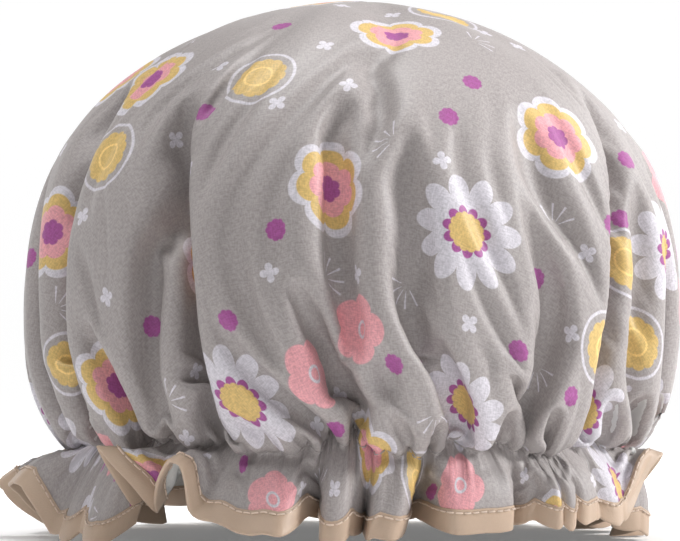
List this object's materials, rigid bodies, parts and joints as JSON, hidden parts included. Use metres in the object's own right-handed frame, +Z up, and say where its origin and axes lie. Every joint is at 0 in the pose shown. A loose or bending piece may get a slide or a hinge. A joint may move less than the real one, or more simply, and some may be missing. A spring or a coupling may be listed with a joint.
{
  "type": "shower cap",
  "caption": "Gathered two-layer shower cap with a puffed printed crown, a waterproof film liner, an elastic mouth and a ruffled hem bound with satin tape.",
  "frame": {"origin": "on the floor below the middle of the overall box", "axes": "+Z up from the hem to the crown, -Y towards the front that the picture shows, +X to the picture's right"},
  "size_m": [0.292, 0.2936, 0.2297],
  "materials": {
    "printed_fabric": "grey polyester satin with a printed pattern",
    "liner_film": "frosted waterproof film",
    "binding_tape": "beige satin bias tape",
    "elastic": "white braided elastic",
    "white_thread": "white polyester thread",
    "grey_thread": "grey polyester thread",
    "beige_thread": "beige polyester thread"
  },
  "bodies": {
    "root": {"printed_outer_fabric": "printed_fabric", "waterproof_liner": "liner_film", "hem_binding": "binding_tape", "elastic_band": "elastic", "elastic_tack_thread": "white_thread", "gather_needle_thread": "grey_thread", "gather_bobbin_thread": "grey_thread", "binding_needle_thread": "beige_thread", "binding_bobbin_thread": "beige_thread"}
  },
  "joints": []
}
